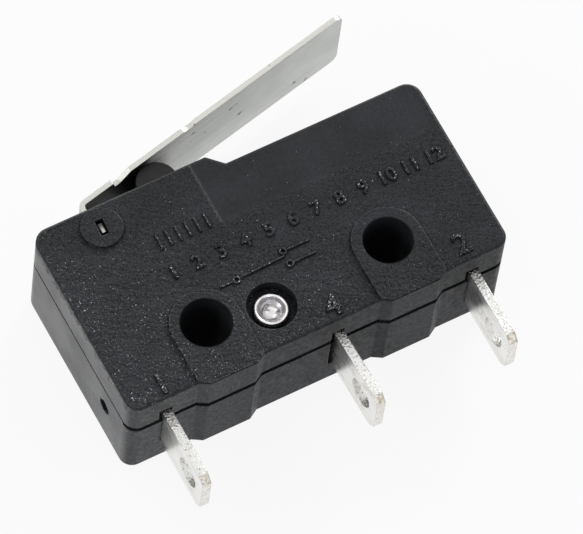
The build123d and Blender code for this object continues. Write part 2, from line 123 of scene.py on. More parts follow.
def specks(tree, coords, size, layers):
    """Noise whose grains are about size metres across, with layers of finer noise."""
    sockets = {"Vector": coords, "Scale": 1 / size, "Detail": layers}
    return step(tree, "TexNoise", sockets).outputs["Fac"]


def patches(tree, coords, size, layers, low, high, to_low=0.0, to_high=1.0):
    """Patches about size metres across, crisper the nearer low and high are."""
    return ramp(tree, specks(tree, coords, size, layers), low, high, to_low, to_high)


def blend_numbers(tree, share, first, second):
    return step(tree, "Mix", {0: share, 2: first, 3: second}).outputs[0]


def blend_colours(tree, share, first, second):
    made = step(tree, "Mix", {0: share, 6: first, 7: second}, data_type="RGBA")
    return made.outputs[2]


def spun(tree, coords, angle):
    """Coordinates turned about Z by an angle in radians."""
    return step(tree, "Mapping", {0: coords, 2: (0, 0, angle)}).outputs[0]


def drawn_out(tree, coords, factors):
    """Coordinates on which a pattern comes out long where its factor is below 1."""
    return step(tree, "Mapping", {0: coords, 3: factors}).outputs[0]


def off_axis(tree, coords, x, y):
    """Distance in metres from an upright line through x and y."""
    flat = step(tree, "VectorMath", {0: coords, 1: (1, 1, 0)}, operation="MULTIPLY")
    sockets = {0: flat.outputs[0], 1: (x, y, 0)}
    return step(tree, "VectorMath", sockets, operation="DISTANCE").outputs["Value"]


def facing(tree):
    """The way each face looks, as its shares along X, Y and Z."""
    look = tree.nodes.new("ShaderNodeNewGeometry").outputs["True Normal"]
    return step(tree, "SeparateXYZ", {0: look}).outputs


def rounded_edges(tree, radius):
    """The way the surface looks, turned smoothly over each edge."""
    return step(tree, "Bevel", {"Radius": radius}, samples=6).outputs["Normal"]


def edge_share(tree, rounded, flat_from=0.995, edge_from=0.8):
    """1 on the edges that are rounded, 0 away from them."""
    flat = tree.nodes.new("ShaderNodeNewGeometry").outputs["Normal"]
    dot = step(tree, "VectorMath", {0: rounded, 1: flat}, operation="DOT_PRODUCT")
    return ramp(tree, dot.outputs["Value"], flat_from, edge_from)


def crevice(tree, reach):
    """0 in corners and slots narrower than reach, 1 on open faces."""
    made = step(tree, "AmbientOcclusion", {"Distance": reach}, samples=8)
    return made.outputs["AO"]


def relief(tree, shader, height, depth, rounded=None):
    """Gives the surface a fine relief, depth metres deep, over its rounded edges."""
    sockets = {"Height": height, "Distance": depth}
    if rounded is not None:
        sockets["Normal"] = rounded
    bump = step(tree, "Bump", sockets)
    tree.links.new(bump.outputs[0], shader.inputs["Normal"])


def dress(node, finish):
    """Puts the finish on every face of a piece that came from the construction."""
    mesh = frame["nodes"][node].data
    mesh.materials.clear()
    mesh.materials.append(finish)


black = (0.0115, 0.0130, 0.0150, 1)
# a paler tone in clouds, and also the painted light near the gate
bloom_and_painted_light = (0.0203, 0.0226, 0.0270, 1)
# painted highlight along the edges
edge_highlight = (0.20, 0.20, 0.19, 1)
# painted highlight: the colour of the glints
glint_colour = (0.80, 0.84, 0.88, 1)
# painted highlight along the smooth panel's lip
panel_lip_highlight = (0.042, 0.046, 0.050, 1)

# noise: its size in metres, and the layers of finer noise in it
glint_noise = (0.00008, 2)
pit_noise = (0.00011, 3)
torn_noise = (0.0002, 3)
ripple_noise = (0.0003, 3)
ragged_noise = (0.0004, 3)

# patches: noise, the part of it that shows, and what that is stretched to if not 0..1
# patches of the painted edge highlight
edge_highlight_patches = (0.00022, 3, 0.44, 0.64)
drift_patches = (0.0011, 3, 0.40, 0.66, 0.55, 1.0)
cloud_patches = (0.0024, 4, 0.38, 0.68)
rough_grain = (0.0002, 2, 0.3, 0.7, 0.34, 0.52)
polished_grain = (0.003, 2, 0.35, 0.65, 0.26, 0.36)

# the eroded face gets coarser along a slant of the cover, from far to near the gate, and is
# painted lighter near the gate for the light its glints catch; the smooth panel's lip has a
# painted highlight
slant = 1.4
coarse_from = 0.012
lighter_from = 0.005
coarse_to = -0.005
least_coarse = 0.3
gate_painted_light = 0.7
panel_smoothness = 0.88
panel_fade = 0.0004
lip_highlight_strength = 3.0

# painted glints: how much drifts add, how many fewer on the walls, and where they start
drift_crowd = 0.104
wall_loss = 0.06
glint_span = (0.735, 0.80)

# places that stay matt: screw holes (x, y, radius), pad sides, the gate and the joint
bores = [mount for mount in frame["record"]["mounts"] if mount["kind"] == "bore"]
screw_holes = [(*bore["pos_m"][:2], bore["dims"]["r_mm"] / 1000) for bore in bores]
pad_height = 0.00015
pad_foot = cad_high[2] - pad_height
pad_side_span = (0.6, 0.3)
matt_fade = 0.00002
gate_scar = (cad_low[0], -0.00015, 0.0025)
scar_r = 0.0007
scar_fade = 0.00008
scar_ragged = 0.0006
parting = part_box("housing_cover")[0][2]
parting_gap = 0.00028
joint_fade = 0.00003
matt_hold = 0.9
matt_roughness = 0.4

# the ragged band of pits over the hinge end's edge
spill_line = 0.00712
spill_fade = 0.00018
spill_ragged = 0.0024
spill_slant = 0.00028
spill_from = -0.001
spill_to = 0.0065

# shine: all over where no pattern is kept, of skin, of pits, and of polished walls
plain_shine = 0.25
skin_shine = 0.27
wall_pit_shine = 0.2
face_pit_shine = 0.08
pit_shine_span = (0.32, 0.55)
smooth_skin = 0.05
coarse_skin = 0.45
polished_shine = 0.34
rubbed_shine = 0.25
far_shine = 0.42
gate_shine = 0.98
gate_shine_from = 0.0016
gate_shine_to = -0.0045
# painted shade in corners: how far it reaches, and how much shine it leaves
corner_shade_reach = 0.00014
corner_shade_span = (0.55, 0.95, 0.05, 1.0)

# relief: its depth, and how much of it is on ripples, bright grains and the walls
pit_depth = 0.00008
edge_round = 0.00009
ripple_turn = 0.49
ripple_draw = (0.4, 1, 1)
ripple_share = 1.3
glint_share = 0.3
wall_relief = 0.1
polished_relief = 0.12

# a face is a wall while it looks less than this upwards, and level once it looks more;
# an end wall looks along the case by the larger of these shares
wall_until = 0.3
level_from = 0.8
end_span = (0.8, 0.97)


def dead_spots(tree, coords, height, level, endwise):
    """1 where the plastic is matt or dusty: pad sides, joint, gate scar, screw holes."""
    above = ramp(tree, height, pad_foot, pad_foot + matt_fade)
    matt = times(tree, ramp(tree, level, *pad_side_span), above)
    groove_foot = parting - parting_gap
    over = ramp(tree, height, parting + 2 * joint_fade, parting + joint_fade)
    under = ramp(tree, height, groove_foot - 2 * joint_fade, groove_foot - joint_fade)
    sideways = ramp(tree, endwise, *end_span[::-1])
    matt = larger(tree, matt, times(tree, times(tree, over, under), sideways))
    away = step(tree, "VectorMath", {0: coords, 1: gate_scar}, operation="DISTANCE")
    torn = times(tree, specks(tree, coords, *torn_noise), scar_ragged)
    scar = plus(tree, away.outputs["Value"], torn)
    matt = larger(tree, matt, ramp(tree, scar, scar_r + scar_fade, scar_r))
    for x, y, radius in screw_holes:
        away = off_axis(tree, coords, x, y)
        inside = ramp(tree, away, radius + 3 * matt_fade, radius + matt_fade)
        matt = larger(tree, matt, inside)
    return matt


def plain_panel(tree, place, ranges):
    """Shares of a smooth panel of the face, and of a painted highlight along the lip at its
    hinge end.
    """
    (x0, x1), (y0, y1) = ranges
    near = ramp(tree, place[0], x0 - panel_fade / 4, x0 + panel_fade / 4)
    far = ramp(tree, place[0], x1 + panel_fade, x1)
    low = ramp(tree, place[1], y0 - panel_fade, y0)
    high = ramp(tree, place[1], y1 + panel_fade, y1)
    tall = times(tree, low, high)
    inside = times(tree, times(tree, near, far), tall)
    lip_highlight = times(tree, times(tree, near, rest_of(tree, near)), lip_highlight_strength)
    return inside, times(tree, lip_highlight, tall)


def walls_or_face(tree, level, on_walls, on_face):
    """One value on the upright walls and another on the level faces."""
    return ramp(tree, level, wall_until, level_from, on_walls, on_face)


def moulded_black(title, panel=None, extra_glints=0.0):
    """Pitted black plastic. panel is a plain smooth part of the face: x and y ranges.

    extra_glints from 0 up paints more glints: bright specks of painted highlight on the
    face.
    """
    finish, tree, shader, coords = plain_finish(title)
    rounded = rounded_edges(tree, edge_round)
    near_edge = edge_share(tree, rounded)
    place = step(tree, "SeparateXYZ", {0: coords}).outputs
    look = facing(tree)
    endwise = unsigned(tree, look[0])
    level = unsigned(tree, look[2])
    matt = dead_spots(tree, coords, place[2], level, endwise)
    alive = rest_of(tree, times(tree, matt, matt_hold))

    # the face is coarse and bloomed, except where a panel was left smooth; towards the gate
    # its colour is painted lighter, for the light its glints catch there, and the panel's
    # lip gets a painted highlight
    run = plus(tree, place[0], times(tree, place[1], slant))
    coarse = ramp(tree, run, coarse_from, coarse_to, least_coarse, 1.0)
    cloud = patches(tree, coords, *cloud_patches)
    # painted light: lighter towards the gate, where the glints catch the light
    cloud = plus(tree, cloud, ramp(tree, run, lighter_from, coarse_to, 0.0, gate_painted_light))
    colour = blend_colours(tree, cloud, black, bloom_and_painted_light)
    if panel:
        smooth, lip_highlight = plain_panel(tree, place, panel)
        smooth = times(tree, smooth, panel_smoothness)
        coarse = times(tree, coarse, rest_of(tree, smooth))
        # painted highlight along the panel's lip
        colour = blend_colours(tree, lip_highlight, colour, panel_lip_highlight)

    # painted highlights: glints painted bright into the colour, in drifts, where bare
    # grains of the filler would catch the light
    drift = patches(tree, coords, *drift_patches)
    crowd = times(tree, times(tree, drift, coarse), drift_crowd)
    more_glints = walls_or_face(tree, level, extra_glints - wall_loss, extra_glints)
    glint_chance = plus(tree, specks(tree, coords, *glint_noise), plus(tree, crowd, more_glints))
    glint = times(tree, ramp(tree, glint_chance, *glint_span), alive)
    colour = blend_colours(tree, glint, colour, glint_colour)

    # painted highlights: the edges are painted pale in broken patches, as if their rims
    # caught the light
    edge_patches = patches(tree, coords, *edge_highlight_patches)
    edge_lit = times(tree, times(tree, near_edge, edge_patches), coarse)
    colour = blend_colours(tree, times(tree, edge_lit, alive), colour, edge_highlight)
    tree.links.new(colour, shader.inputs["Base Color"])

    # the end walls were polished in the mould so that the halves leave it cleanly, and
    # at the hinge end a ragged band of the face's pits runs over the cover's edge
    ragged = times(tree, specks(tree, coords, *ragged_noise), spill_ragged)
    deeper = ramp(tree, place[1], spill_from, spill_to, 0.0, spill_slant)
    band = plus(tree, place[2], plus(tree, ragged, deeper))
    spill = ramp(tree, band, spill_line + spill_fade, spill_line)
    spill = larger(tree, spill, ramp(tree, look[0], wall_until, level_from))
    polished = times(tree, ramp(tree, endwise, *end_span), spill)
    grain = patches(tree, coords, *rough_grain)
    sheen = patches(tree, coords, *polished_grain)
    rough_skin = blend_numbers(tree, polished, grain, sheen)
    rough_skin = plus(tree, rough_skin, times(tree, matt, matt_roughness))
    tree.links.new(rough_skin, shader.inputs["Roughness"])

    # pits take the shine off, and least where the skin is smooth, and painted shade takes
    # it off in corners and at the feet of steps
    pitting = specks(tree, coords, *pit_noise)
    shades = (wall_pit_shine, face_pit_shine)
    face_pits = ramp(tree, coarse, smooth_skin, coarse_skin, *shades)
    dull_pits = walls_or_face(tree, level, wall_pit_shine, face_pits)
    open_skin = ramp(tree, pitting, *pit_shine_span, dull_pits, skin_shine)
    # the long walls shine more towards the gate, where the plastic went in hottest
    shades = (far_shine, gate_shine)
    near_gate = ramp(tree, place[0], gate_shine_from, gate_shine_to, *shades)
    open_skin = times(tree, open_skin, walls_or_face(tree, level, near_gate, 1.0))
    # edges were rubbed bright in handling
    open_skin = plus(tree, open_skin, times(tree, near_edge, rubbed_shine))
    shine = blend_numbers(tree, polished, open_skin, polished_shine)
    # painted shade: the shine is taken off in occluded corners
    unshaded = ramp(tree, crevice(tree, corner_shade_reach), *corner_shade_span)
    shine = times(tree, shine, times(tree, unshaded, alive))
    shader.inputs["Specular IOR Level"].default_value = plain_shine
    tree.links.new(shine, shader.inputs["Specular IOR Level"])

    # the plastic set in short ripples, drawn out along the way it ran in from the gate
    flow = drawn_out(tree, spun(tree, coords, ripple_turn), ripple_draw)
    ripples = times(tree, specks(tree, flow, *ripple_noise), ripple_share)
    calm = walls_or_face(tree, level, wall_relief, 1.0)
    calm = blend_numbers(tree, polished, calm, polished_relief)
    height = times(tree, times(tree, plus(tree, pitting, ripples), coarse), calm)
    height = plus(tree, height, times(tree, glint, glint_share))
    relief(tree, shader, height, pit_depth, rounded)
    return finish


dress("housing_base", moulded_black("case_black"))

# ---- Terminals ------------------------------------------------------------------
# Three blades blanked from brass strip and tin-plated. They stand in slots in the
# base's spine, each with a wire hole. The punch left their edges rough and bright.

tin_colour = (0.86, 0.855, 0.835, 1)
tin_dull = (0.74, 0.735, 0.71, 1)
# dark pits, and the painted shade along the edges
tin_pit_and_shade = (0.30, 0.29, 0.27, 1)
bare_brass = (0.36, 0.31, 0.22, 1)
thin_tin = (0.80, 0.75, 0.69, 1)
flux_stain = (0.58, 0.52, 0.42, 1)
torn_tin = (0.00011, 3)
torn_pits = (0.58, 0.67, 0.0, 0.85)
# where the painted shade along the edges shows
edge_shade_span = (0.4, 0.6, 0.15, 0.65)
tin_clouds = (0.0009, 4, 0.4, 0.7)
tin_grain = (0.0005, 3, 0.3, 0.7, 0.24, 0.36)
flux_patches = (0.0006, 4, 0.56, 0.66, 0.0, 0.5)
thin_streaks = (0.0002, 3, 0.42, 0.62)
cut_patches = (0.00018, 3, 0.38, 0.62, 0.1, 0.8)
roll_lines = (0.00012, 2)
roll_share = 0.02
cloud_draw = (1.0, 0.35, 1.0)
streak_draw = (1.0, 1.0, 0.25)
roll_draw = (1, 0.08, 1)
tear_depth = 0.000035
tin_round = 0.00007
tip_line = cad_low[1] + 0.0011
tip_fade = 0.0003
# how far a face turns from its blade's sides, its tip and its front to count as each
sheared_span = (0.7, 0.3)
tip_span = (-0.3, -0.6)
corner_span = (0.2, 0.5)


def metal(tree, shader, colour, roughness):
    """Makes the shader a bare metal of this colour and roughness."""
    tree.links.new(colour, shader.inputs["Base Color"])
    tree.links.new(roughness, shader.inputs["Roughness"])
    shader.inputs["Metallic"].default_value = 1.0


def tin_plate(title):
    """Tin on brass: smooth on the rolled faces, torn and pitted where it was punched, with
    a line of painted shade along its edges.
    """
    finish, tree, shader, coords = plain_finish(title)
    rounded = rounded_edges(tree, tin_round)
    near_edge = edge_share(tree, rounded)
    look = facing(tree)
    sheared = ramp(tree, unsigned(tree, look[0]), *sheared_span)
    flow = drawn_out(tree, coords, cloud_draw)
    cloud = patches(tree, flow, *tin_clouds)
    colour = blend_colours(tree, cloud, tin_colour, tin_dull)
    torn = specks(tree, coords, *torn_tin)
    pits = times(tree, ramp(tree, torn, *torn_pits), sheared)
    # painted shade: a dark line along the edges, in torn patches
    dark_edge = times(tree, near_edge, ramp(tree, torn, *edge_shade_span))
    colour = blend_colours(tree, larger(tree, pits, dark_edge), colour, tin_pit_and_shade)
    # flux left pale brown stains on the faces
    stain = patches(tree, coords, *flux_patches)
    colour = blend_colours(tree, stain, colour, flux_stain)
    # the tin is thin over the tip, and the corners cut there show the brass
    depth = step(tree, "SeparateXYZ", {0: coords}).outputs[1]
    tip = ramp(tree, depth, tip_line, tip_line - tip_fade)
    tip = times(tree, tip, ramp(tree, look[1], *tip_span))
    streaky = patches(tree, drawn_out(tree, coords, streak_draw), *thin_streaks)
    colour = blend_colours(tree, times(tree, tip, streaky), colour, thin_tin)
    corner = ramp(tree, unsigned(tree, look[2]), *corner_span)
    patchy = patches(tree, coords, *cut_patches)
    cut = times(tree, times(tree, tip, corner), patchy)
    colour = blend_colours(tree, cut, colour, bare_brass)
    metal(tree, shader, colour, patches(tree, flow, *tin_grain))
    rolled = drawn_out(tree, coords, roll_draw)
    lines = times(tree, specks(tree, rolled, *roll_lines), roll_share)
    relief(tree, shader, blend_numbers(tree, sheared, lines, torn), tear_depth, rounded)
    return finish


tinned = tin_plate("tinned_brass")
for blade in ("common_terminal", "normally_open_terminal", "normally_closed_terminal"):
    dress(blade, tinned)

# ---- Contacts -------------------------------------------------------------------
# Three small silver-alloy rivets, cold headed. One is staked through each fixed leg,
# and the third is pinched in the end of the moving arm.

silver_colour = (0.80, 0.80, 0.78, 1)
silver_tarnish = (0.55, 0.52, 0.46, 1)
metal_round = 0.00004
mottle_span = (4, 0.4, 0.75)
dull_span = (3, 0.3, 0.7)
brighter = 0.06
duller = 0.1
scratch_noise = (0.00005, 2)
scratch_depth = 0.00001


def bare_metal(title, colour, stain, mottle, dull, scratch_draw=(1, 1, 1)):
    """Metal left as it was rolled, headed or drawn.

    mottle is the size of its stains, and dull its roughness, which varies a little.
    """
    finish, tree, shader, coords = plain_finish(title)
    rounded = rounded_edges(tree, metal_round)
    cloud = patches(tree, coords, mottle, *mottle_span)
    dullness = (dull - brighter, dull + duller)
    grain = patches(tree, coords, mottle / 3, *dull_span, *dullness)
    metal(tree, shader, blend_colours(tree, cloud, colour, stain), grain)
    scratches = specks(tree, drawn_out(tree, coords, scratch_draw), *scratch_noise)
    relief(tree, shader, scratches, scratch_depth, rounded)
    return finish


silver = bare_metal(
    "contact_silver", silver_colour, silver_tarnish, mottle=0.0004, dull=0.25
)
for contact in ("normally_open_contact", "normally_closed_contact", "moving_contact"):
    dress(contact, silver)

# ---- Snap mechanism -------------------------------------------------------------
# Two strips of copper-alloy spring stock rock on their knife edges in grooves in the
# common blade: the contact arm, and the rocker that the plunger pushes.

copper_colour = (0.72, 0.44, 0.25, 1)
copper_stain = (0.50, 0.27, 0.14, 1)
rolled_along = (0.1, 1, 1)
copper = bare_metal(
    "spring_copper",
    copper_colour,
    copper_stain,
    mottle=0.0009,
    dull=0.3,
    scratch_draw=rolled_along,
)
for strip in ("contact_arm", "rocker"):
    dress(strip, copper)

# ---- Tension spring -------------------------------------------------------------
# Wound from drawn stainless wire, with a half-ring hook at each end. It pulls the
# rocker and the arm together, and throws the arm over when its line passes the pivot.

wire_colour = (0.55, 0.55, 0.56, 1)
wire_stain = (0.40, 0.40, 0.41, 1)
wire = bare_metal("spring_wire", wire_colour, wire_stain, mottle=0.0005, dull=0.28)
dress("snap_spring", wire)

# ---- Plunger --------------------------------------------------------------------
# A small black button, moulded in a harder and smoother plastic than the case. It
# slides in its window, and its flange keeps it in.

button_black = (0.007, 0.007, 0.008, 1)
button_bloom = (0.012, 0.012, 0.012, 1)
button_clouds = (0.0008, 3, 0.4, 0.7)
button_noise = (0.0001, 2)
button_roughness = (0.3, 0.7, 0.36, 0.5)
button_shine = 0.3
button_round = 0.00008
button_depth = 0.000004


def polished_black(title):
    finish, tree, shader, coords = plain_finish(title)
    cloud = patches(tree, coords, *button_clouds)
    colour = blend_colours(tree, cloud, button_black, button_bloom)
    tree.links.new(colour, shader.inputs["Base Color"])
    grain = specks(tree, coords, *button_noise)
    tree.links.new(ramp(tree, grain, *button_roughness), shader.inputs["Roughness"])
    shader.inputs["Specular IOR Level"].default_value = button_shine
    relief(tree, shader, grain, button_depth, rounded_edges(tree, button_round))
    return finish


dress("plunger", polished_black("plunger_black"))

# ---- Housing cover --------------------------------------------------------------
# The upper half of the case, moulded in the same black plastic. Most of its face is
# pitted, and one plain panel beside the lever wall was left smooth in the mould.

smooth_panel = ((0.0031, 0.0141), (0.0045, 0.0075))
dress("housing_cover", moulded_black("cover_black", smooth_panel))

# ---- Moulded marks --------------------------------------------------------------
# Plain raised marks cut into the cover's mould: the usual numbers of the three
# terminals, the months in a date row, a row of ticks, and a change-over symbol.

mark_rise = 0.00009
mark_sink = 0.00003
mark_line = 0.00014
mark_draft = 0.00003
letter_curve = 5
weld = 0.000001
# the marks get more painted glints than the face
mark_black = moulded_black("mark_black", extra_glints=0.09)


def put_down(title, data):
    """Sets a mesh, lamp or camera into the scene as a piece of its own."""
    piece = bpy.data.objects.new(title, data)
    bpy.context.scene.collection.objects.link(piece)
    return piece


def mesh_of(title, shape):
    mesh = bpy.data.meshes.new(title)
    shape.to_mesh(mesh)
    shape.free()
    return mesh


def cover_mark(title, shape):
    """A mark stands on the cover's face and is one with it."""
    mesh = mesh_of(title, shape)
    mesh.materials.append(mark_black)
    piece = put_down(title, mesh)
    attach(piece, "case")


def raised_numbers(title, size, places):
    """One mesh of numbers, each centred on its own (x, y) of the face."""
    shape = bmesh.new()
    for number, (x, y) in places:
        letter = bpy.data.curves.new(title, "FONT")
        letter.body = str(number)
        letter.size = size
        letter.align_x = "CENTER"
        letter.align_y = "CENTER"
        letter.resolution_u = letter_curve
        letter.extrude = (mark_rise + mark_sink) / 2 - mark_draft
        letter.bevel_depth = mark_draft
        letter.bevel_resolution = 0
        pattern = put_down(title, letter)
        pattern.location = (x, y, pad_foot + (mark_rise - mark_sink) / 2)
        bpy.context.view_layer.update()
        solid = bpy.data.meshes.new_from_object(pattern)
        solid.transform(pattern.matrix_world)
        shape.from_mesh(solid)
        bpy.data.objects.remove(pattern)
        bpy.data.meshes.remove(solid)
    bmesh.ops.remove_doubles(shape, verts=shape.verts, dist=weld)
    cover_mark(title, shape)


def faces_between(shape, low, high):
    """Ring of faces between two closed rows of points, or a row and a single point."""
    count = max(len(low), len(high))
    for k in range(count):
        m = (k + 1) % count
        lower = [low[k % len(low)], low[m % len(low)]]
        upper = [high[m % len(high)], high[k % len(high)]]
        shape.faces.new(list(dict.fromkeys(lower + upper)))


def ridge(shape, start, end):
    """Low bar with sloping sides from one point of the face to another."""
    run = Vector(end) - Vector(start)
    side = Vector((-run.y, run.x)).normalized() * mark_line / 2
    tip = run.normalized() * mark_line / 2
    lower = []
    upper = []
    for along, across in ((-1, -1), (1, -1), (1, 1), (-1, 1)):
        corner = Vector(start if along < 0 else end)
        reach = tip * along + side * across
        foot = corner + reach
        top = corner + reach * (1 - 2 * mark_draft / mark_line)
        lower.append(shape.verts.new((foot.x, foot.y, pad_foot - mark_sink)))
        upper.append(shape.verts.new((top.x, top.y, pad_foot + mark_rise)))
    shape.faces.new(lower[::-1])
    shape.faces.new(upper)
    faces_between(shape, lower, upper)


def hoop(shape, centre, radius, height, sides):
    """Points of a level circle, or the one point that it shrinks to."""
    if radius == 0:
        return [shape.verts.new((centre[0], centre[1], height))]
    points = []
    for k in range(sides):
        turn = 2 * math.pi * k / sides
        x = centre[0] + radius * math.cos(turn)
        y = centre[1] + radius * math.sin(turn)
        points.append(shape.verts.new((x, y, height)))
    return points


def eyelet(shape, centre, radius, sides=20):
    """Raised ring that stands for a contact."""
    half = mark_line / 2
    hoops = [
        hoop(shape, centre, radius + offset, pad_foot + height, sides)
        for offset, height in (
            (half, -mark_sink),
            (half - mark_draft, mark_rise),
            (mark_draft - half, mark_rise),
            (-half, -mark_sink),
        )
    ]
    for inner, outer in zip(hoops, hoops[1:] + hoops[:1]):
        faces_between(shape, inner, outer)


number_size = 0.0015
number_places = ((1, (-0.00325, -0.0018)), (4, (0.00565, -0.0018)), (2, (0.0125, -0.00165)))
raised_numbers("terminal_numbers", number_size, number_places)

month_size = 0.00098
month_first = (-0.0001, 0.00295)
month_pitch = 0.00124
months = [(k + 1, (month_first[0] + month_pitch * k, month_first[1])) for k in range(12)]
raised_numbers("month_numbers", month_size, months)

tick_count = 6
tick_pitch = 0.0005
tick_foot = 0.0043
tick_top = 0.0050
ticks = bmesh.new()
for k in range(tick_count):
    ridge(ticks, (tick_pitch * k, tick_foot), (tick_pitch * k, tick_top))
bmesh.ops.recalc_face_normals(ticks, faces=ticks.faces)
cover_mark("tick_row", ticks)

# the moving arm's line leaves the common terminal and rests on one of two contacts
eye_r = 0.00015
line_gap = 0.00006
common_lead = 0.0008
contact_lead = 0.0013
arm_lift = 0.00004
arm_short = 0.0001
common_eye = (0.0023, 0.00135)
closed_eye = (0.0049, 0.00170)
open_eye = (0.0049, 0.00100)
symbol = bmesh.new()
for eye in (common_eye, closed_eye, open_eye):
    eyelet(symbol, eye, eye_r)
x, y = common_eye
ridge(symbol, (x - common_lead, y), (x - eye_r - line_gap, y))
arm_end = (closed_eye[0] - arm_short, closed_eye[1] - eye_r - arm_short)
ridge(symbol, (x + eye_r + line_gap, y + arm_lift), arm_end)
for x, y in (closed_eye, open_eye):
    ridge(symbol, (x + eye_r + line_gap, y), (x + contact_lead, y))
bmesh.ops.recalc_face_normals(symbol, faces=symbol.faces)
cover_mark("contact_symbol", symbol)

# ---- Case rivet -----------------------------------------------------------------
# A nickel-plated brass rivet through both halves. Its flat head sits in the back, and
# its hollow end is rolled outwards into a bright rim over the cover's counterbore.

rivet_low, rivet_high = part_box("case_rivet")
rivet_x, rivet_y = [(a + b) / 2 for a, b in zip(rivet_low[:2], rivet_high[:2])]

nickel_colour = (0.90, 0.89, 0.88, 1)
nickel_dull = (0.76, 0.75, 0.74, 1)
bowl_grey = (0.37, 0.355, 0.385, 1)
swirl_grey = (0.16, 0.15, 0.17, 1)
# painted shade in the bore and the corners at the counterbore
rivet_shade_grey = (0.16, 0.15, 0.15, 1)
nickel_clouds = (0.0003, 3, 0.4, 0.7)
nickel_grain = (0.00012, 3, 0.3, 0.7, 0.2, 0.34)
band_patches = (0.0004, 2, 0.3, 0.7, 0.6, 1.0)
swirl_patches = (0.00034, 2, 0.50, 0.60, 0.0, 0.75)
dent_noise = (0.0002, 3)
dent_depth = 0.00002
bowl_r = 0.00068
bowl_fade = 0.00006
bore_edge = 0.00034
bore_fade = 0.0001
swirl_r = 0.00042
swirl_fade = 0.00008
rivet_shade_reach = 0.0004
rivet_shade_span = (0.1, 0.6)


def nickel(title):
    finish, tree, shader, coords = plain_finish(title)
    cloud = patches(tree, coords, *nickel_clouds)
    colour = blend_colours(tree, cloud, nickel_colour, nickel_dull)
    # the tool that rolled the rim left a grey band round the side of the bowl
    away = off_axis(tree, coords, rivet_x, rivet_y)
    outside = ramp(tree, away, bowl_r, bowl_r - bowl_fade)
    inside = ramp(tree, away, bore_edge, bore_edge + bore_fade)
    band = times(tree, outside, inside)
    band = times(tree, band, patches(tree, coords, *band_patches))
    colour = blend_colours(tree, band, colour, bowl_grey)
    # dark swirls where the tool turned on the bottom
    swirl = patches(tree, coords, *swirl_patches)
    swirl = times(tree, swirl, ramp(tree, away, swirl_r + swirl_fade, swirl_r))
    colour = blend_colours(tree, swirl, colour, swirl_grey)
    # painted shade: the bore and the corners at the counterbore are darkened where occluded
    unshaded = ramp(tree, crevice(tree, rivet_shade_reach), *rivet_shade_span)
    colour = blend_colours(tree, unshaded, rivet_shade_grey, colour)
    metal(tree, shader, colour, patches(tree, coords, *nickel_grain))
    relief(tree, shader, specks(tree, coords, *dent_noise), dent_depth)
    return finish


def turned(title, profile, centre, crisp_angle=0.7, sides=96):
    """Round piece from (radius, height) points that start and end on its axis."""
    shape = bmesh.new()
    hoops = [hoop(shape, centre, radius, height, sides) for radius, height in profile]
    for low, high in zip(hoops, hoops[1:]):
        faces_between(shape, low, high)
    bmesh.ops.recalc_face_normals(shape, faces=shape.faces)
    for face in shape.faces:
        face.smooth = True
    for edge in shape.edges:
        edge.smooth = edge.calc_face_angle(0) < crisp_angle
    return put_down(title, mesh_of(title, shape))


head_r = (rivet_high[0] - rivet_low[0]) / 2
head_edge = 0.00016
head_height = 0.00042
head_steps = 6
shank_r = 0.0006
rim_r = 0.00085
rim_edge = 0.00012
rim_height = 0.0004
rim_steps = 8
rim_seat = rivet_high[2] - rim_height

rivet_profile = [(0, rivet_low[2]), (head_r - head_edge, rivet_low[2])]
for k in range(1, head_steps + 1):
    turn = math.pi / 2 * k / head_steps
    radius = head_r - head_edge + head_edge * math.sin(turn)
    rivet_profile.append((radius, rivet_low[2] + head_edge * (1 - math.cos(turn))))
rivet_profile += [
    (head_r, rivet_low[2] + head_height),
    (shank_r, rivet_low[2] + head_height),
    (shank_r, rim_seat),
    (rim_r - rim_edge, rim_seat),
]
for k in range(1, rim_steps + 1):
    turn = math.pi * (k / rim_steps - 0.5)
    rise = (1 + math.sin(turn)) / 2 * rim_height
    rivet_profile.append((rim_r - rim_edge + rim_edge * math.cos(turn), rim_seat + rise))
# inside the rim's crest: the side of the bowl, a ledge, and the dished end of the bore
for radius, depth in (
    (0.00069, 0.000015),
    (0.00066, 0.00005),
    (0.00062, 0.00012),
    (0.00057, 0.00020),
    (0.00051, 0.00026),
    (0.00045, 0.00029),
    (0.00040, 0.00032),
    (0.00037, 0.00040),
    (0.00033, 0.00047),
    (0.00025, 0.00052),
    (0.00013, 0.00055),
    (0, 0.00056),
):
    rivet_profile.append((radius, rivet_high[2] - depth))
rivet = turned("rolled_rivet", rivet_profile, (rivet_x, rivet_y))
rivet.data.materials.append(nickel("rivet_nickel"))
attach(rivet, "case")
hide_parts("case_rivet")

# ---- Lever ----------------------------------------------------------------------
# A strip of stainless spring steel, blanked with two lugs at its root and bent down
# into the case. It was rolled along its length, and its edges are as the punch left them.

steel = (0.58, 0.59, 0.57, 1)
steel_dull = (0.51, 0.525, 0.50, 1)
# dirt, and the painted shade at the root
steel_grime_and_shade = (0.035, 0.033, 0.03, 1)
punched_edge = (0.57, 0.565, 0.53, 1)
# painted shade on the lug's end
lug_painted_shade = (0.04, 0.04, 0.045, 1)
steel_clouds = (0.0022, 4, 0.35, 0.7)
steel_grain = (0.00016, 3, 0.3, 0.7, 0.40, 0.48)
steel_lines = (0.0001, 2)
line_depth = 0.000004
line_draw = (0.03, 1, 1)
edge_span = (0.4, 0.8)
dirt_spots = (0.0005, 1, 0.70, 0.78, 0.0, 0.8)
burr_patches = (0.0004, 3, 0.35, 0.6, 0.1, 0.6)
# how far the painted shade at the root reaches, and how dark
root_shade_reach = 0.002
root_shade_span = (0.66, 0.30)
lever_lean = 12.4
lug_place = frame["record"]["behaviour"]["joints"][0]["pos_m"]
lug_depth = 0.0002
lug_fade = 0.0001
# the lit strip on the lug's end: its half width, and where along it the painted shade fades
lug_lit_half = 0.0001
lug_lit_span = (0.00018, -0.0002, 0.08, 0.95)


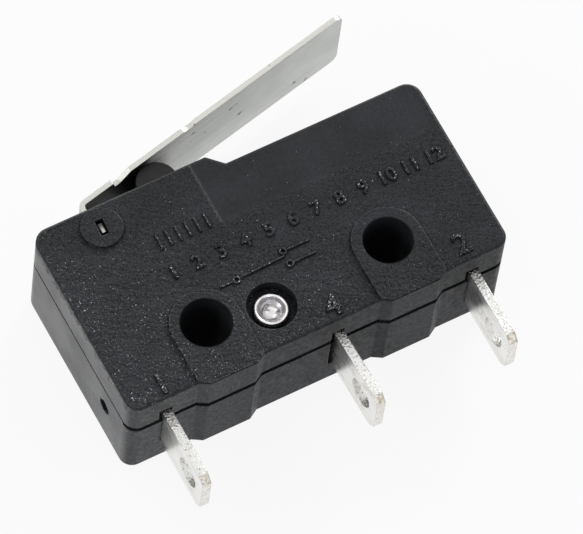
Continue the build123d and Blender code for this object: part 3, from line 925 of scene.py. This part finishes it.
def rolled_steel(title):
    finish, tree, shader, coords = plain_finish(title)
    rounded = rounded_edges(tree, metal_round)
    along = spun(tree, coords, -math.radians(lever_lean))
    lines = drawn_out(tree, along, line_draw)
    cloud = patches(tree, along, *steel_clouds)
    colour = blend_colours(tree, cloud, steel, steel_dull)
    # the punched edges look up or down, and took a warm tint from the oil
    edge = ramp(tree, unsigned(tree, facing(tree)[2]), *edge_span)
    colour = blend_colours(tree, edge, colour, punched_edge)
    # dirt and painted shade: dirt spots and a dark burr along the edges, and painted shade
    # at the root where it stands close to the case
    spots = patches(tree, coords, *dirt_spots)
    # painted shade: the root darkens where the case stands close to it
    root_shade = ramp(tree, crevice(tree, root_shade_reach), *root_shade_span)
    dark_edge = times(tree, edge_share(tree, rounded), patches(tree, coords, *burr_patches))
    dirt_and_shade = larger(tree, larger(tree, spots, root_shade), dark_edge)
    colour = blend_colours(tree, dirt_and_shade, colour, steel_grime_and_shade)
    # painted shade darkens the lug's end in the cover at its sides and towards its +Y end,
    # leaving only a lit strip along its middle
    height = step(tree, "SeparateXYZ", {0: coords}).outputs[2]
    off = step(tree, "VectorMath", {0: coords, 1: lug_place}, operation="SUBTRACT")
    off = step(tree, "SeparateXYZ", {0: off.outputs[0]}).outputs
    lug_lit = ramp(tree, unsigned(tree, off[0]), lug_lit_half, lug_lit_half / 3)
    lug_lit = times(tree, lug_lit, ramp(tree, off[1], *lug_lit_span))
    lug_end = ramp(tree, height, pad_foot - lug_depth - lug_fade, pad_foot - lug_depth)
    lug_shaded = times(tree, lug_end, rest_of(tree, lug_lit))
    colour = blend_colours(tree, lug_shaded, colour, lug_painted_shade)
    metal(tree, shader, colour, patches(tree, lines, *steel_grain))
    relief(tree, shader, specks(tree, lines, *steel_lines), line_depth, rounded)
    return finish


dress("lever", rolled_steel("lever_steel"))

# ---- Studio ---------------------------------------------------------------------
# A pale floor that the switch lies on, soft lamps on its right, left, front and back
# sides, and a long-lens camera that looks down on the cover.

centre = (cad_low + cad_high) / 2
white = (1, 1, 1, 1)
paper_grey = (0.95, 0.95, 0.95, 1)
paper_white = (0.97, 0.97, 0.97, 1)
paper_clouds = (0.02, 3, 0.3, 0.7)
paper_roughness = 0.9
floor_glow = 0.89
floor_half = 0.6
floor_drop = 0.00002


def backdrop_rays(tree):
    """1 for the rays that see the backdrop itself, straight on or in a reflection."""
    ray = tree.nodes.new("ShaderNodeLightPath").outputs
    seen = larger(tree, ray["Is Camera Ray"], ray["Is Glossy Ray"])
    return larger(tree, seen, ray["Is Transmission Ray"])


def paper(title):
    """White paper, shown a little lighter than it is lit, with the shadow kept."""
    finish, tree, shader, coords = plain_finish(title)
    cloud = patches(tree, coords, *paper_clouds)
    colour = blend_colours(tree, cloud, paper_grey, paper_white)
    tree.links.new(colour, shader.inputs["Base Color"])
    shader.inputs["Roughness"].default_value = paper_roughness
    glow = step(tree, "Emission", {"Color": white, "Strength": 1.0})
    share = times(tree, backdrop_rays(tree), floor_glow)
    both = step(tree, "MixShader", {0: share, 1: shader.outputs[0], 2: glow.outputs[0]})
    out = next(n for n in tree.nodes if n.type == "OUTPUT_MATERIAL")
    tree.links.new(both.outputs[0], out.inputs["Surface"])
    return finish


floor_shape = bmesh.new()
bmesh.ops.create_grid(floor_shape, x_segments=4, y_segments=4, size=floor_half)
floor = put_down("floor", mesh_of("floor", floor_shape))
floor.location = (centre[0], centre[1], cad_low[2] - floor_drop)
floor.data.materials.append(paper("floor_paper"))

# each lamp's name, its place from the middle of the switch, its width and its watts
for lamp_name, place, size, watts in (
    ("key_lamp", (0.24, 0.16, 0.13), 0.10, 0.42),
    ("left_lamp", (-0.26, 0.02, 0.16), 0.14, 0.16),
    ("front_lamp", (-0.06, -0.30, 0.12), 0.08, 0.06),
    ("back_lamp", (-0.05, 0.26, 0.14), 0.16, 0.14),
):
    light = bpy.data.lights.new(lamp_name, "AREA")
    light.size = size
    light.energy = watts
    lamp = put_down(lamp_name, light)
    lamp.location = centre + Vector(place)
    lamp.rotation_euler = (-Vector(place)).to_track_quat("-Z", "Y").to_euler()

# the room is white to the lens and in reflections, and lights the switch at half that
air_light = 0.45
world = bpy.data.worlds.new("studio_air")
bpy.context.scene.world = world
world.use_nodes = True
air = world.node_tree
sky = next(n for n in air.nodes if n.type == "BACKGROUND")
sky.inputs["Color"].default_value = white
strength = blend_numbers(air, backdrop_rays(air), air_light, 1.0)
air.links.new(strength, sky.inputs["Strength"])

camera_aim = (0.0057912, 0.0020682, 0.0031358)
camera_turn = (25.948, -3.877, -28.201)
camera_distance = 0.34203
camera_lens = 454.35
sensor_width = 36
nearest_seen = 0.01
camera = put_down("camera", bpy.data.cameras.new("camera"))
camera.rotation_euler = [math.radians(a) for a in camera_turn]
back = Euler(camera.rotation_euler).to_matrix() @ Vector((0, 0, 1))
camera.location = Vector(camera_aim) + back * camera_distance
camera.data.sensor_width = sensor_width
camera.data.lens = camera_lens
camera.data.clip_start = nearest_seen
bpy.context.scene.camera = camera
bpy.context.scene.view_settings.view_transform = "Standard"
